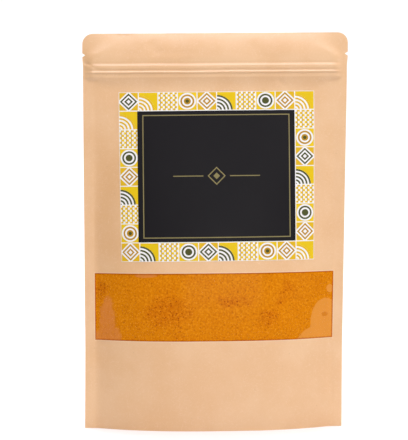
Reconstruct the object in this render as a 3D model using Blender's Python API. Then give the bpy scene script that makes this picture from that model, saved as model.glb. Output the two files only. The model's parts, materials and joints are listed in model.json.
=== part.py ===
"""A filled stand-up pouch of kraft paper with a clear window, a press-to-close zip and a stuck-on label.

Metres, +Z up. The pouch stands on its two bottom hems with its front towards -Y. The origin is on the floor,
under the middle of the pouch. Every sheet follows the same two rules: panel_inner gives how far a panel's
inner face stands from the pouch's middle plane, and edge_half_width gives how far the sheet reaches sideways.
"""

import math

import bmesh
import bpy

# The pouch: a 160 x 240 mm bag, a little narrower and shorter once it is filled.
POUCH_HEIGHT = 0.2382
ZIP_HALF_WIDTH = 0.0796
BASE_HALF_WIDTH = 0.0780
FLAP_FLARE = 0.0005
SIDE_SEAL = 0.0062
CORNER_RADIUS = 0.0063
LEAST_SEAL = 0.0012
NOTCH_HEIGHT = 0.2252
NOTCH_DEPTH = 0.0018
NOTCH_HALF_OPENING = 0.0012

# Each sheet of laminate, drawn thicker than the real 0.15 mm, and the gap that is left between two sheets.
PAPER = 0.0003
FILM = 0.0002
GAP = 0.0003

# How far the filled body stands out from the side seals, on each side of the middle plane.
BELLY_DEPTH = 0.0172
HEM_DEPTH = 0.0145
BELLY_HEIGHT = 0.0480
FLAT_HEIGHT = 0.2108
BELLY_SQUARENESS = 2.6
TAPER_POWER = 2.0
TAPER_SOFTNESS = 1.3

# Half the stack of sheets in the side seals, low down where the gusset is, and at the plain top.
LOW_STACK = 0.00075
TOP_STACK = 0.00020
STACK_THINS_FROM = 0.1050
STACK_THIN_AT = 0.1500

# The bottom gusset: a web folded up between the panels. Its seal rises in a curve to the side seals.
GUSSET_FLANGE = 0.0060
GUSSET_FOLD = 0.0375
GUSSET_CROWN = 0.0300
GUSSET_SIDE_CROWN = 0.0378
GUSSET_SEAL_POWER = 4.0
GUSSET_ARCH_POWER = 2.4
GUSSET_LIFT = 0.0003
ARCH_STEPS = 14
FOOT_STEPS = 3

# The window, from side seal to side seal, and the film behind it.
WINDOW_BOTTOM = 0.0537
WINDOW_TOP = 0.0937
WINDOW_INSET = 0.0004
FILM_MARGIN = 0.0040
FILM_IN_SEAL = 0.5

# The press-to-close zip: two strips with a pair of tracks, seen as ridges in the paper over it.
ZIP_HEIGHT = 0.2172
ZIP_TRACK_OFFSET = 0.0023
ZIP_STRIP_HALF_HEIGHT = 0.0052
ZIP_HALF_LENGTH = 0.0722
ZIP_SHEET = 0.0003
ZIP_FLANGE_FACE = 0.00115
ZIP_WALL_TIP = 0.0008
ZIP_WALL_INNER = 0.00075
ZIP_WALL_OUTER = 0.00115
ZIP_RIB_HALF = 0.00025
ZIP_HEAD_HALF = 0.00045
ZIP_HEAD_HEIGHT = 0.0005
ZIP_PANEL_INNER = 0.00175
ZIP_SHOULDER = 0.0056
ZIP_LOWER_EASE = 0.0110
ZIP_END_ROOM = 0.0003
ZIP_END_SLOPE = 0.0030

# Steps in the paper over the zip, on the way down: where each starts above the zip's middle, how far down it
# runs and how far out it takes the paper. Together they come back to 0.
ZIP_STEPS = (
    (0.0044, 0.0008, -0.00012),
    (0.0031, 0.0017, 0.00045),
    (0.0004, 0.0012, -0.00025),
    (-0.0012, 0.0008, 0.00020),
    (-0.0024, 0.0008, -0.00028),
)

# The ground turmeric inside.
POWDER_HEIGHT = 0.1500
POWDER_MOUND = 0.0040
POWDER_REACH = 0.965
POWDER_OFF_FILM = 0.0001
POWDER_OFF_WEB = 0.0006
POWDER_EDGE = 0.0002
POWDER_SHOULDER = 0.0004
POWDER_STEPS = 9
POWDER_FOOT_STEPS = 10

# The label on the front, turned a little, with its dark printed panel.
LABEL_CENTRE = (0.0019, 0.1519)
LABEL_SIZE = (0.1175, 0.1010)
LABEL_TURN = math.radians(0.2)
LABEL_THICKNESS = 0.0002
LABEL_PANEL_SIZE = (0.0940, 0.0786)
LABEL_PANEL_SHIFT = -0.0010

# Columns across the bag, as shares of the way from the middle to the inside of the side seal.
BODY_COLUMNS = (0.0, 0.17, 0.34, 0.50, 0.64, 0.76, 0.86, 0.94)
PANEL_ROWS_BELOW_WINDOW = (0.0, 0.006, 0.014, 0.024, 0.034, 0.044)
PANEL_ROWS_IN_WINDOW = (0.0670, 0.0804)
PANEL_ROWS_ABOVE_WINDOW = (0.106, 0.119, 0.132, 0.145, 0.158, 0.171, 0.184, 0.196, 0.2055)
ZIP_LOWER_ROWS = (-0.0086, -0.0070, -0.0056)
FLAP_ROW = 0.2292
CORNER_STEPS = 5

KRAFT_COLOUR = (0.925, 0.755, 0.590)
KRAFT_INSIDE_COLOUR = (0.870, 0.720, 0.560)
FILM_COLOUR = (0.95, 0.93, 0.88)
ZIP_COLOUR = (0.93, 0.92, 0.88)
POWDER_COLOUR = (0.850, 0.500, 0.060)
LABEL_COLOUR = (0.850, 0.760, 0.340)
LABEL_PANEL_COLOUR = (0.160, 0.155, 0.170)


def clear_scene():
    for obj in list(bpy.data.objects):
        bpy.data.objects.remove(obj)


def linear(colour):
    """Blender's linear value of each sRGB channel."""
    return tuple(c / 12.92 if c <= 0.04045 else ((c + 0.055) / 1.055) ** 2.4 for c in colour)


def material(name, colour, roughness, alpha=1.0):
    made = bpy.data.materials.new(name)
    made.use_nodes = True
    shader = made.node_tree.nodes["Principled BSDF"]
    shader.inputs["Base Color"].default_value = (*linear(colour), 1.0)
    shader.inputs["Roughness"].default_value = roughness
    shader.inputs["Metallic"].default_value = 0.0
    shader.inputs["Alpha"].default_value = alpha
    return made


def smooth(share):
    """A soft step from 0 to 1."""
    share = min(max(share, 0.0), 1.0)
    return share * share * (3.0 - 2.0 * share)


def half_width(z):
    """Half the bag's width at a height, before its corners are rounded and its notches cut."""
    drawn_in = min(max((FLAT_HEIGHT - z) / (FLAT_HEIGHT - BELLY_HEIGHT), 0.0), 1.0)
    flare = FLAP_FLARE * smooth((z - ZIP_HEIGHT) / (NOTCH_HEIGHT - ZIP_HEIGHT))
    return ZIP_HALF_WIDTH - (ZIP_HALF_WIDTH - BASE_HALF_WIDTH) * drawn_in + flare


def edge_half_width(z):
    """Half the width of a panel, with the rounded top corners and the tear notches."""
    edge = half_width(z)
    over = z - (POUCH_HEIGHT - CORNER_RADIUS)
    if over > 0.0:
        edge -= CORNER_RADIUS - math.sqrt(max(CORNER_RADIUS**2 - over**2, 0.0))
    cut = max(1.0 - abs(z - NOTCH_HEIGHT) / NOTCH_HALF_OPENING, 0.0)
    return edge - NOTCH_DEPTH * cut


def seal_inner(z):
    """Half the width between the side seals."""
    return half_width(z) - SIDE_SEAL


def belly_depth(z):
    """How far the filled body stands out along the middle of a panel."""
    if z <= BELLY_HEIGHT:
        below = (BELLY_HEIGHT - z) / BELLY_HEIGHT
        return BELLY_DEPTH - (BELLY_DEPTH - HEM_DEPTH) * below**2
    share = min((z - BELLY_HEIGHT) / (FLAT_HEIGHT - BELLY_HEIGHT), 1.0)
    return BELLY_DEPTH * (1.0 - share**TAPER_POWER) ** TAPER_SOFTNESS


def belly(x, z):
    """How far the filled body stands out at one place, 0 in the side seals."""
    across = min(abs(x) / seal_inner(z), 1.0)
    return belly_depth(z) * (1.0 - across**BELLY_SQUARENESS)


def stack(z):
    """Half the thickness of the layers between the two panels in a seal."""
    thin = smooth((z - STACK_THINS_FROM) / (STACK_THIN_AT - STACK_THINS_FROM))
    return LOW_STACK + (TOP_STACK - LOW_STACK) * thin


def zip_relief(z):
    """How far the zip's tracks press the paper out at a height."""
    up = z - ZIP_HEIGHT
    return sum(change * smooth((start - up) / length) for start, length, change in ZIP_STEPS)


def zip_lift(x, z):
    """How far the zip holds a panel off the middle plane. The paper closes above the zip and below it."""
    top = ZIP_HEIGHT + ZIP_SHOULDER
    bottom = ZIP_HEIGHT - ZIP_SHOULDER
    above = 1.0 - (max(z - top, 0.0) / (POUCH_HEIGHT - top)) ** 2
    below = max(1.0 - max(bottom - z, 0.0) / ZIP_LOWER_EASE, 0.0) ** 2
    along = 1.0 - smooth((abs(x) - ZIP_HALF_LENGTH - ZIP_END_ROOM) / ZIP_END_SLOPE)
    return along * ((ZIP_PANEL_INNER - TOP_STACK) * above * below + zip_relief(z))


def panel_inner(x, z):
    """Distance of a panel's inner face from the middle plane."""
    return stack(z) + belly(x, z) + zip_lift(x, z)


def panel_rows():
    """Heights of a panel's rows: closer over the zip, at the notch and round the corners."""
    steps = [(start - length, start) for start, length, _ in reversed(ZIP_STEPS)]
    notch = (NOTCH_HEIGHT - NOTCH_HALF_OPENING, NOTCH_HEIGHT, NOTCH_HEIGHT + NOTCH_HALF_OPENING)
    corner = [
        POUCH_HEIGHT - CORNER_RADIUS * (1.0 - math.sin(0.5 * math.pi * step / CORNER_STEPS))
        for step in range(CORNER_STEPS + 1)
    ]
    return [
        *PANEL_ROWS_BELOW_WINDOW,
        WINDOW_BOTTOM,
        *PANEL_ROWS_IN_WINDOW,
        WINDOW_TOP,
        *PANEL_ROWS_ABOVE_WINDOW,
        *[ZIP_HEIGHT + place for place in ZIP_LOWER_ROWS],
        *[ZIP_HEIGHT + place for ends in steps for place in ends],
        *notch,
        FLAP_ROW,
        *corner,
    ]


def mirrored(right_half):
    """Columns from left to right, given those from the middle to the right."""
    return [-x for x in reversed(right_half[1:])] + list(right_half)


def panel_columns(z):
    """Places across a panel: the body, the window's side, the side seal's two edges and its middle."""
    edge = edge_half_width(z)
    inner = min(seal_inner(z), edge - LEAST_SEAL)
    body = [share * inner for share in BODY_COLUMNS]
    return mirrored([*body, inner - WINDOW_INSET, inner, 0.5 * (inner + edge), edge])


def new_object(name, made, materials, smooth_angle=35.0):
    """Adds a bmesh to the scene as a named object, with its faces pointing out."""
    bmesh.ops.recalc_face_normals(made, faces=made.faces)
    mesh = bpy.data.meshes.new(name)
    made.to_mesh(mesh)
    made.free()
    for each in materials:
        mesh.materials.append(each)
    mesh.shade_smooth()
    mesh.set_sharp_from_angle(angle=math.radians(smooth_angle))
    obj = bpy.data.objects.new(name, mesh)
    bpy.context.scene.collection.objects.link(obj)
    return obj


def sheet(name, outer, inner, materials, is_hole=None, is_second=None):
    """A thin closed sheet between two grids of points, with a rim round its outline and round any hole.

    is_hole and is_second say of a cell, by its row and column, that it is left open or has the second material.
    """
    made = bmesh.new()
    rows = len(outer)
    columns = len(outer[0])
    front = [[made.verts.new(point) for point in row] for row in outer]
    back = [[made.verts.new(point) for point in row] for row in inner]
    cells = {
        (row, column)
        for row in range(rows - 1)
        for column in range(columns - 1)
        if not (is_hole and is_hole(row, column))
    }
    for row, column in cells:
        corners = [(row, column), (row, column + 1), (row + 1, column + 1), (row + 1, column)]
        beyond = [(row - 1, column), (row, column + 1), (row + 1, column), (row, column - 1)]
        shown = made.faces.new([front[r][c] for r, c in corners])
        shown.material_index = 1 if is_second and is_second(row, column) else 0
        made.faces.new([back[r][c] for r, c in reversed(corners)])
        for side in range(4):
            if beyond[side] in cells:
                continue
            (ra, ca), (rb, cb) = corners[side], corners[(side + 1) % 4]
            made.faces.new([front[ra][ca], back[ra][ca], back[rb][cb], front[rb][cb]])
    bmesh.ops.delete(made, geom=[v for v in made.verts if not v.link_faces], context="VERTS")
    return new_object(name, made, materials)


def loft(name, sections, materials):
    """A solid through closed sections with the same number of points, capped at both ends."""
    made = bmesh.new()
    rings = [[made.verts.new(point) for point in section] for section in sections]
    count = len(rings[0])
    for ring, following in zip(rings, rings[1:]):
        for i in range(count):
            j = (i + 1) % count
            made.faces.new([ring[i], ring[j], following[j], following[i]])
    made.faces.new(list(reversed(rings[0])))
    made.faces.new(rings[-1])
    return new_object(name, made, materials)


def panel(name, facing, has_window, kraft):
    """The front (facing -1) or back (facing 1) panel: kraft paper from hem to top."""
    rows = panel_rows()
    outer, inner = [], []
    for z in rows:
        columns = panel_columns(z)
        inner.append([(x, facing * panel_inner(x, z), z) for x in columns])
        outer.append([(x, facing * (panel_inner(x, z) + PAPER), z) for x in columns])
    window_rows = range(rows.index(WINDOW_BOTTOM), rows.index(WINDOW_TOP))
    last = len(outer[0]) - 1
    window_columns = range(3, last - 3)

    def in_window(row, column):
        return has_window and row in window_rows and column in window_columns

    return sheet(name, outer, inner, [kraft], is_hole=in_window)


def window_film(clear):
    """The clear film that lies behind the window and runs into the side seals."""
    rows = [
        WINDOW_BOTTOM - FILM_MARGIN,
        WINDOW_BOTTOM,
        *PANEL_ROWS_IN_WINDOW,
        WINDOW_TOP,
        WINDOW_TOP + FILM_MARGIN,
    ]
    outer, inner = [], []
    for z in rows:
        reach = seal_inner(z) + FILM_IN_SEAL * SIDE_SEAL
        body = [share * seal_inner(z) for share in BODY_COLUMNS]
        columns = mirrored([*body, seal_inner(z), reach])
        outer.append([(x, GAP - panel_inner(x, z), z) for x in columns])
        inner.append([(x, GAP + FILM - panel_inner(x, z), z) for x in columns])
    return sheet("window_film", outer, inner, [clear])


def gusset_seal_top(x):
    """Height at which the gusset's web leaves the panels: low in the middle, up at the side seals."""
    across = min(abs(x) / seal_inner(0.0), 1.0)
    return GUSSET_FLANGE + (GUSSET_FOLD - GUSSET_FLANGE) * across**GUSSET_SEAL_POWER


def gusset_crown(x):
    """Height of the top of the web's arch."""
    across = min(abs(x) / seal_inner(0.0), 1.0)
    return GUSSET_CROWN + (GUSSET_SIDE_CROWN - GUSSET_CROWN) * across**GUSSET_SEAL_POWER


def gusset_half_depth(x, z):
    """Distance of the web's middle surface from the middle plane, where it lies along a panel."""
    return panel_inner(x, z) - GAP - 0.5 * PAPER


def gusset_arch(x, steps=ARCH_STEPS, first=0.0):
    """The middle line of the web's arch at one place across the bag, as (y, z), from front to back.

    first is the angle at which it starts. It ends as far short of the back.
    """
    top = gusset_seal_top(x)
    reach = gusset_half_depth(x, top)
    rise = gusset_crown(x) - top
    arch = []
    for step in range(steps + 1):
        angle = first + (math.pi - 2.0 * first) * step / steps
        away = math.copysign(abs(math.cos(angle)) ** (2.0 / GUSSET_ARCH_POWER), -math.cos(angle))
        up = abs(math.sin(angle)) ** (2.0 / GUSSET_ARCH_POWER)
        arch.append((away * reach, top + rise * up))
    return arch


def gusset_path(x):
    """The web's whole middle line: up the front panel, over the arch and down the back panel."""
    top = gusset_seal_top(x)
    foot = [GUSSET_LIFT + (top - GUSSET_LIFT) * step / FOOT_STEPS for step in range(FOOT_STEPS)]
    front = [(-gusset_half_depth(x, z), z) for z in foot]
    return [*front, *gusset_arch(x), *[(-y, z) for y, z in reversed(front)]]


def offset_path(path, distance):
    """A line in the Y-Z plane moved sideways, to its left if the distance is positive."""
    moved = []
    for i, (y, z) in enumerate(path):
        before = path[max(i - 1, 0)]
        after = path[min(i + 1, len(path) - 1)]
        along_y, along_z = after[0] - before[0], after[1] - before[1]
        length = math.hypot(along_y, along_z)
        moved.append((y - distance * along_z / length, z + distance * along_y / length))
    return moved


def bottom_gusset(kraft):
    """The web folded up into the base, open below."""
    ends = [seal_inner(0.0), 0.5 * (seal_inner(0.0) + BASE_HALF_WIDTH), BASE_HALF_WIDTH]
    columns = mirrored([*[share * seal_inner(0.0) for share in BODY_COLUMNS], *ends])
    outer, inner = [], []
    for x in columns:
        path = gusset_path(x)
        outer.append([(x, y, z) for y, z in offset_path(path, 0.5 * PAPER)])
        inner.append([(x, y, z) for y, z in offset_path(path, -0.5 * PAPER)])
    return sheet("bottom_gusset", outer, inner, [kraft])


def extruded_strip(name, profile, plastic):
    """A profile in the Y-Z plane run along the zip's length."""
    sections = [[(end * ZIP_HALF_LENGTH, y, z) for y, z in profile] for end in (-1.0, 1.0)]
    return loft(name, sections, [plastic])


def zip_socket_strip(plastic):
    """The front half of the zip: a flange with two open channels."""
    face, tip = -ZIP_FLANGE_FACE, ZIP_WALL_TIP
    back = face - ZIP_SHEET
    low, high = ZIP_HEIGHT - ZIP_STRIP_HALF_HEIGHT, ZIP_HEIGHT + ZIP_STRIP_HALF_HEIGHT
    profile = [(back, high), (back, low), (face, low)]
    for track in (ZIP_HEIGHT - ZIP_TRACK_OFFSET, ZIP_HEIGHT + ZIP_TRACK_OFFSET):
        for first, second in ((-ZIP_WALL_OUTER, -ZIP_WALL_INNER), (ZIP_WALL_INNER, ZIP_WALL_OUTER)):
            profile += [(face, track + first), (tip, track + first)]
            profile += [(tip, track + second), (face, track + second)]
    profile.append((face, high))
    return extruded_strip("zip_socket_strip", profile, plastic)


def zip_rib_strip(plastic):
    """The back half of the zip: a flange with two ribs, each with a wider head, that press into the channels."""
    face, tip = ZIP_FLANGE_FACE, -ZIP_WALL_TIP
    back = face + ZIP_SHEET
    neck = tip + ZIP_HEAD_HEIGHT
    low, high = ZIP_HEIGHT - ZIP_STRIP_HALF_HEIGHT, ZIP_HEIGHT + ZIP_STRIP_HALF_HEIGHT
    profile = [(back, high), (back, low), (face, low)]
    for track in (ZIP_HEIGHT - ZIP_TRACK_OFFSET, ZIP_HEIGHT + ZIP_TRACK_OFFSET):
        profile += [(face, track - ZIP_RIB_HALF), (neck, track - ZIP_RIB_HALF)]
        profile += [(neck, track - ZIP_HEAD_HALF), (tip, track - ZIP_RIB_HALF)]
        profile += [(tip, track + ZIP_RIB_HALF), (neck, track + ZIP_HEAD_HALF)]
        profile += [(neck, track + ZIP_RIB_HALF), (face, track + ZIP_RIB_HALF)]
    profile.append((face, high))
    return extruded_strip("zip_rib_strip", profile, plastic)


def powder_side(x, z):
    """Distance of the powder's front or back from the middle plane."""
    return belly(x, z) - POWDER_OFF_FILM


def powder_foot(x):
    """The powder's underside: a line over the web, from where there is room for powder beside it."""
    top = gusset_seal_top(x)
    room = powder_side(x, top) - POWDER_OFF_WEB - POWDER_EDGE
    first = math.acos((room / gusset_half_depth(x, top)) ** (0.5 * GUSSET_ARCH_POWER))
    return offset_path(gusset_arch(x, POWDER_FOOT_STEPS, first), POWDER_OFF_WEB)


def powder_section(x):
    """The powder's outline at one place across the bag: over the gusset, up the back, across and down the front."""
    across = abs(x) / seal_inner(POWDER_HEIGHT)
    top = POWDER_HEIGHT + POWDER_MOUND * (1.0 - across**2)
    foot = powder_foot(x)
    shoulder = foot[0][1] + POWDER_SHOULDER
    heights = [shoulder + (top - shoulder) * step / POWDER_STEPS for step in range(POWDER_STEPS + 1)]
    back = [(powder_side(x, z), z) for z in heights]
    front = [(-y, z) for y, z in reversed(back)]
    return [(x, y, z) for y, z in [*foot, *back, *front]]


def powder(spice):
    """The ground turmeric that fills the pouch above its gusset."""
    reach = POWDER_REACH * seal_inner(0.0)
    columns = mirrored([*[share * seal_inner(0.0) for share in BODY_COLUMNS], reach])
    return loft("turmeric_powder", [powder_section(x) for x in columns], [spice])


def label_lines(size, panel_size, panel_shift, steps):
    """Grid lines across or up the label, with one on each side of the printed panel."""
    low, high = panel_shift - 0.5 * panel_size, panel_shift + 0.5 * panel_size
    between = [low + (high - low) * step / steps for step in range(steps + 1)]
    return [-0.5 * size, *between, 0.5 * size]


def label(printed, dark):
    """The sticker on the front panel, which follows its curve."""
    across = label_lines(LABEL_SIZE[0], LABEL_PANEL_SIZE[0], LABEL_PANEL_SHIFT, 12)
    up = label_lines(LABEL_SIZE[1], LABEL_PANEL_SIZE[1], 0.0, 8)
    cosine, sine = math.cos(LABEL_TURN), math.sin(LABEL_TURN)
    outer, inner = [], []
    for b in up:
        places = [
            (LABEL_CENTRE[0] + a * cosine - b * sine, LABEL_CENTRE[1] + a * sine + b * cosine)
            for a in across
        ]
        stands = [panel_inner(x, z) + PAPER + GAP for x, z in places]
        inner.append([(x, -y, z) for (x, z), y in zip(places, stands)])
        outer.append([(x, -y - LABEL_THICKNESS, z) for (x, z), y in zip(places, stands)])

    def on_panel(row, column):
        return 0 < row < len(up) - 2 and 0 < column < len(across) - 2

    return sheet("label", outer, inner, [printed, dark], is_second=on_panel)


def build():
    clear_scene()
    kraft = material("kraft_paper", KRAFT_COLOUR, 0.75)
    kraft_inside = material("kraft_gusset", KRAFT_INSIDE_COLOUR, 0.75)
    clear = material("clear_film", FILM_COLOUR, 0.15, alpha=0.3)
    plastic = material("zip_plastic", ZIP_COLOUR, 0.35)
    spice = material("turmeric", POWDER_COLOUR, 0.95)
    printed = material("label_print", LABEL_COLOUR, 0.45)
    dark = material("label_dark_panel", LABEL_PANEL_COLOUR, 0.40)
    panel("front_panel", -1.0, True, kraft)
    panel("back_panel", 1.0, False, kraft)
    bottom_gusset(kraft_inside)
    window_film(clear)
    zip_socket_strip(plastic)
    zip_rib_strip(plastic)
    powder(spice)
    label(printed, dark)


build()
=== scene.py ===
"""The pouch's looks: thin paper, film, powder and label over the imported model, in a plain studio."""

import json
import math

import bmesh
import bpy
from mathutils import Euler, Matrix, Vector, noise

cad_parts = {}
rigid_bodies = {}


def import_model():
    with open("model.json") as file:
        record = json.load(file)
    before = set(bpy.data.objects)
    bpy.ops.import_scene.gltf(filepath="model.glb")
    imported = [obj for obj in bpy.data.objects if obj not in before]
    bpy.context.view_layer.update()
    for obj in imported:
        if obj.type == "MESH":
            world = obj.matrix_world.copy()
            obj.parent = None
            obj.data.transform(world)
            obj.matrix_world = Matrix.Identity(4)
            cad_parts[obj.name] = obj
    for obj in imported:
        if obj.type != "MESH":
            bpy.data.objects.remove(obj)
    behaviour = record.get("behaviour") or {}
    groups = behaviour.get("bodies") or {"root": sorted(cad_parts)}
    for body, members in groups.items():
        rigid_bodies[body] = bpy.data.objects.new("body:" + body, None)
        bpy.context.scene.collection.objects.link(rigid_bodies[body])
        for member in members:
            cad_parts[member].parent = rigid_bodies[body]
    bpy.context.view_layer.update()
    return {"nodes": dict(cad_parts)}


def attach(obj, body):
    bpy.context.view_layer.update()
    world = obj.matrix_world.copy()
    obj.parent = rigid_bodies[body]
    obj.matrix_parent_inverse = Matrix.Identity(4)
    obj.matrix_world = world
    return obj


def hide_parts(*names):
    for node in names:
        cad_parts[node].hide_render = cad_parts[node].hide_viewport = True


# Millimetres in a metre.
MM = 1000.0

# The camera: its place, in metres, and where it looks.
CAMERA_DISTANCE = 0.900
CAMERA_HEIGHT = 0.1450
CAMERA_SIDEWAYS = math.radians(1.80)
CAMERA_TARGET = (-0.0063, 0.0, 0.1254)
CAMERA_ROLL = math.radians(-0.25)
CAMERA_LENS = 121.9

# The pouch's outline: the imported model's, with side seals and a base that are a little narrower.
POUCH_HEIGHT = 0.2382
ZIP_HALF_WIDTH = 0.0796
BASE_HALF_WIDTH = 0.0777
FLAP_FLARE = 0.0005
SIDE_SEAL = 0.0058
CORNER_RADIUS = 0.0063
LEAST_SEAL = 0.0012
FLAP_LEAN = 0.0018

# The bag was cut a little askew: its cross lines climb to the right, and it leans to the right.
SKEW = 0.0045
SKEW_HEIGHT = 0.0500
LEAN = 0.0090
LEAN_HEIGHT = 0.1191

# The tear notches.
NOTCH_HEIGHT = 0.2252
NOTCH_DEPTH = 0.0018
NOTCH_HALF_OPENING = 0.0012

# The filled body's bulge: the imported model's, a little less deep below the zip and deeper at the hem.
BELLY_DEPTH = 0.0172
HEM_DEPTH = 0.0155
BELLY_HEIGHT = 0.0480
FLAT_HEIGHT = 0.2108
BELLY_SQUARENESS = 2.6
TAPER_POWER = 2.0
TAPER_SOFTNESS = 1.45
SEAL_BEND = 0.0055
LOW_STACK = 0.00075
TOP_STACK = 0.00020
STACK_THINS_FROM = 0.1050
STACK_THIN_AT = 0.1500

# The real sheets, and half of what lies between the panels where they are sealed.
PAPER = 0.00016
FILM = 0.00008
SKIN = 0.00002
SEALED_HALF = 0.00012
SEALED_HALF_WITH_WEB = 0.00036
SEAL_EASE = 0.0050
WEB_EASE = 0.0080

# From a panel's inner face to the middle line of the gusset's web.
WEB_OFFSET = SKIN + 0.5 * PAPER

# The window.
WINDOW_BOTTOM = 0.0537
WINDOW_TOP = 0.0940
WINDOW_INSET = 0.00025
FILM_MARGIN = 0.0040
FILM_DENT = 0.00008
FILM_MIRROR = 0.001
FILM_GRAZING_MIRROR = 0.8
FILM_GRAZING_POWER = 5.0

# Low relief in the paper: the height of its swells, and a dip below the zip.
BODY_RELIEF = 0.00055
FINE_RELIEF = 0.00009
FLAP_RELIEF = 0.00040
DIP_DEPTH = 0.00020
DIP_HEIGHT = 0.2035
DIP_HALF_HEIGHT = 0.0050

# How far all the sheets together wave forwards or back.
EDGE_SWAY = 0.0006
FLAP_SWAY = 0.0016

# Creases in the panels: both ends, across and up, and how wide and how deep each is. At both ends they fade
# out over a share of their length.
CREASE_FADE = 0.25
FRONT_CREASES = (
    ((-0.0800, 0.2215), (-0.0690, 0.2155), 0.0009, 0.00032),
    ((-0.0800, 0.2090), (-0.0660, 0.2110), 0.0014, 0.00040),
    ((0.0370, 0.2105), (0.0430, 0.2050), 0.0012, 0.00035),
    ((-0.0735, 0.2080), (-0.0722, 0.1880), 0.0007, 0.00025),
    ((0.0660, 0.2105), (0.0790, 0.2065), 0.0016, 0.00040),
    ((-0.0400, 0.2340), (-0.0340, 0.2240), 0.0040, 0.00030),
    ((0.0200, 0.2330), (0.0300, 0.2225), 0.0050, 0.00030),
    ((-0.0790, 0.0500), (-0.0730, 0.0480), 0.0018, 0.00025),
    ((0.0735, 0.0980), (0.0800, 0.0960), 0.0012, 0.00030),
)
BACK_CREASES = (
    ((-0.0790, 0.2110), (-0.0650, 0.2140), 0.0011, 0.00040),
    ((0.0780, 0.2230), (0.0660, 0.2170), 0.0010, 0.00045),
    ((-0.0200, 0.2110), (-0.0120, 0.2030), 0.0016, 0.00040),
    ((0.0100, 0.1850), (0.0420, 0.1700), 0.0060, 0.00060),
    ((-0.0560, 0.0900), (-0.0300, 0.0650), 0.0070, 0.00060),
)

# Rows of a panel, from the hem up to its corners: where each run ends and about how far apart its rows are.
PANEL_RUNS = (
    (WINDOW_BOTTOM, 0.0016),
    (WINDOW_TOP, 0.0013),
    (0.200, 0.0016),
    (0.2108, 0.0008),
    (0.2140, 0.0004),
    (0.2220, 0.0002),
    (NOTCH_HEIGHT - NOTCH_HALF_OPENING, 0.0005),
    (NOTCH_HEIGHT, 0.0003),
    (NOTCH_HEIGHT + NOTCH_HALF_OPENING, 0.0003),
    (POUCH_HEIGHT - CORNER_RADIUS, 0.0009),
)
CORNER_STEPS = 16

# Cells across a panel's body and across each side seal, and the steps of the film, the label and the gusset.
BODY_STEPS = 104
SEAL_STEPS = 7
FILM_COLUMNS = 150
FINE_STEP = 0.0012
GUSSET_STEP = 0.0016
GUSSET_FOOT_STEPS = 10
GUSSET_ARCH_STEPS = 36

# The gusset.
GUSSET_FLANGE = 0.0060
GUSSET_FOLD = 0.0375
GUSSET_CROWN = 0.0300
GUSSET_SIDE_CROWN = 0.0378
GUSSET_SEAL_POWER = 4.0
GUSSET_ARCH_POWER = 2.4
GUSSET_LIFT = 0.0003
GUSSET_PUCKER = 0.0010

# The zip.
ZIP_HEIGHT = 0.2172
ZIP_STRIP_HALF_HEIGHT = 0.0052
ZIP_HALF_LENGTH = 0.0722
ZIP_PANEL_INNER = 0.00185
ZIP_SHOULDER = 0.0056
ZIP_LOWER_EASE = 0.0092
ZIP_END_ROOM = 0.0002
ZIP_END_SLOPE = 0.0066
ZIP_END_FADE = 0.0160
ZIP_FADE_UPWARDS = 1.3
ZIP_FADE_DOWNWARDS = 2.5
ZIP_WANDER = 0.00018
ZIP_ROOM = 0.00165
ZIP_ROOM_EASE = 0.0012

# Steps in the paper over the zip, on the way down: where each starts above the zip's middle, how far down it
# runs and how far out it takes the paper. Together they come back to 0.
ZIP_STEPS = (
    (0.0040, 0.0008, -0.00006),
    (0.0029, 0.0020, 0.00062),
    (0.0000, 0.0015, -0.00036),
    (-0.0017, 0.0009, 0.00038),
    (-0.0028, 0.0008, -0.00058),
)

# The powder.
POWDER_HEIGHT = 0.1500
POWDER_MOUND = 0.0040
POWDER_MOUND_WANDER = 0.0015
POWDER_STEPS = 130
POWDER_FOOT_STEPS = 28
POWDER_COARSE_ROWS = 0.0040
POWDER_LOW_ROWS = 0.0030
POWDER_WINDOW_ROWS = 0.0009
POWDER_WINDOW_MARGIN = 0.002
POWDER_TO_SEAL = 0.0001
POWDER_OFF_WEB = 0.0004
POWDER_EDGE = 0.0002
POWDER_SHOULDER = 0.0003
POWDER_LEAST_FOOT = 0.15
POWDER_OFF_BACK = 0.0001
POWDER_OFF_FILM = 0.00003
POWDER_LUMPS = 0.00014
POWDER_GRIT = 0.00007

# The label.
LABEL_CENTRE = (0.0017, 0.1520)
LABEL_SIZE = (0.1178, 0.1016)
LABEL_TURN = math.radians(0.15)
LABEL_DRAWN_IN = 0.0012
LABEL_DRAWN_DOWN = 1.6
LABEL_DRAWN_ACROSS = 4.2
LABEL_THICKNESS = 0.00012
LABEL_LIFT = 0.00004
LABEL_PANEL_SIZE = (0.0948, 0.0786)
LABEL_PANEL_SHIFT = -0.0005

# The label's tiles, and the two numbers from which each tile's own draw is made.
LABEL_COLUMNS = 10
LABEL_ROWS = 9
TILE_DRAW_TURN = 13.3598
TILE_DRAW_SPREAD = 4378.85

# The gold print on the dark panel: a rule inside its edge, a lozenge with a core, and a bar on each side of
# it. The rule's size is in metres, the rest in millimetres.
RULE_SIZE = (0.0880, 0.0734)
RULE_HALF = 0.30
LOZENGE_REACH = 5.0
LOZENGE_HALF = 0.45
LOZENGE_CORE = 2.0
BAR_START = 8.0
BAR_END = 26.0
BAR_HALF = 0.28

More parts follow.
